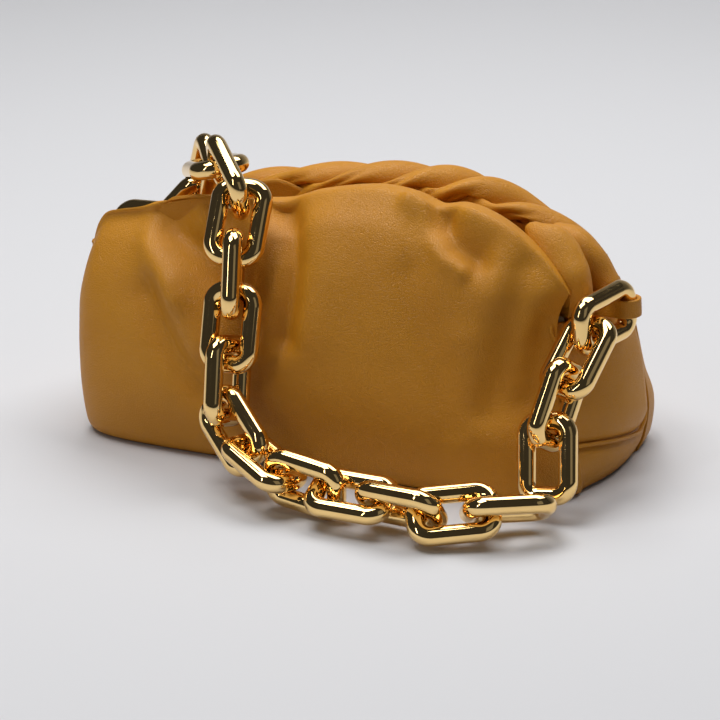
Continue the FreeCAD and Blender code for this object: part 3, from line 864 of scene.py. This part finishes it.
def tray(name, lift, climb, insets, material, replaced, outwards):
    """A floor from its middle out to the edge, then a wall up inside the bag's leather."""
    ahead, behind = insets

    def place(p, q):
        up = max((q - TRAY_FLOOR_share) / (1 - TRAY_FLOOR_share), 0.0)
        spot = ring_place(p, up * climb)
        flat = Vector((spot.x, spot.y, 0))
        inset = ahead + (behind - ahead) * ease(0.0, INSET_RUN, spot.y)
        inner = flat * (1 - inset / flat.length) * min(q / TRAY_FLOOR_share, 1.0)
        return Vector((inner.x, inner.y, lift + spot.z * up))

    bm = laid_grid(TRAY_GRID, place, BAG_MIDDLE)
    bmesh.ops.remove_doubles(bm, verts=bm.verts, dist=MERGE)
    if not outwards:
        bmesh.ops.reverse_faces(bm, faces=bm.faces)
    return made(bm, name, material, "bag", replaced, TRAY_WALL)


def paper_sweep():
    paper, _, _, surface = shader("pale_paper")
    surface.inputs["Base Color"].default_value = PAPER
    surface.inputs["Roughness"].default_value = 0.9
    surface.inputs["Specular IOR Level"].default_value = 0.1
    bm = bmesh.new()
    bmesh.ops.create_grid(bm, x_segments=1, y_segments=SWEEP_STEPS, size=SWEEP_HALF)
    for v in bm.verts:
        far = v.co.y - SWEEP_START
        if far > 0:
            bend = min(far / SWEEP_RADIUS, math.pi / 2)
            v.co.y = SWEEP_START + SWEEP_RADIUS * math.sin(bend)
            v.co.z = SWEEP_RADIUS * (1 - math.cos(bend)) + max(far - SWEEP_RADIUS * math.pi / 2, 0)
    sweep = smooth_object(bm, "sweep", paper)


def lamps():
    """Soft lamps in a dim room."""
    for name, place, size, power in LAMPS:
        lamp = bpy.data.lights.new(name, "AREA")
        lamp.shape = "RECTANGLE"
        lamp.size, lamp.size_y = size
        lamp.energy = power
        light = bpy.data.objects.new(name, lamp)
        light.location = place
        aim = LAMP_AIM - Vector(place)
        light.rotation_euler = aim.to_track_quat("-Z", "Y").to_euler()
        bpy.context.scene.collection.objects.link(light)
    world = bpy.data.worlds.new("studio")
    world.use_nodes = True
    world.node_tree.nodes["Background"].inputs["Color"].default_value = ROOM_LIGHT
    bpy.context.scene.world = world


def camera():
    data = bpy.data.cameras.new("view")
    data.sensor_width = SENSOR_MILLIMETRES
    data.lens = FOCAL_PIXELS / FRAME_PIXELS * data.sensor_width
    data.shift_x = 0.5 - TARGET_PIXEL[0] / FRAME_PIXELS
    data.shift_y = TARGET_PIXEL[1] / FRAME_PIXELS - 0.5
    view = bpy.data.objects.new("view", data)
    azimuth, elevation = math.radians(VIEW_AZIMUTH), math.radians(VIEW_ELEVATION)
    level = math.cos(elevation)
    back = Vector((math.sin(azimuth) * level, -math.cos(azimuth) * level, math.sin(elevation)))
    view.location = VIEW_TARGET + back * VIEW_DISTANCE
    view.rotation_euler = (-back).to_track_quat("-Z", "Y").to_euler()
    bpy.context.scene.collection.objects.link(view)
    bpy.context.scene.camera = view


def dress_node(name, material):
    data = nodes[name].data
    data.materials.clear()
    data.materials.append(material)
    for polygon in data.polygons:
        polygon.material_index = 0


mottle = mottled_colour()
gloss = uneven_gloss()
leather = leather_finish(mottle, gloss)
gold = gold_finish(mottle, gloss)
steel = steel_finish(gloss)
lining_cloth = lining_finish()
board = board_finish(mottle)

camera()
paper_sweep()
lamps()
front_leather(leather)
gathered_roll(leather)
lip_facing(leather)
for side, name in ((-1, "left"), (1, "right")):
    end_panel(side, name, leather)
    piping(side, name, leather)
rear_leather(leather)
mouth_facing(leather)
right_tucks(leather)
strap("right_strap", RIGHT_STRAP, leather, ["right_tab"])
strap("left_strap", LEFT_STRAP, leather, ["left_tab"])
tray("base_leather", 0.0, BASE_CLIMB_share, BASE_INSETS, leather, ["base_panel"], True)
tray(
    "lining_cloth", LINING_FLOOR, LINING_CLIMB_share, LINING_INSETS,
    lining_cloth, ["lining"], False,
)
for name in nodes:
    if "link" in name:
        dress_node(name, gold)
for name in ("front_frame", "rear_frame", "left_pin", "right_pin", "front_magnet", "rear_magnet"):
    dress_node(name, steel)
dress_node("base_board", board)

bpy.context.scene.view_settings.view_transform = "Standard"
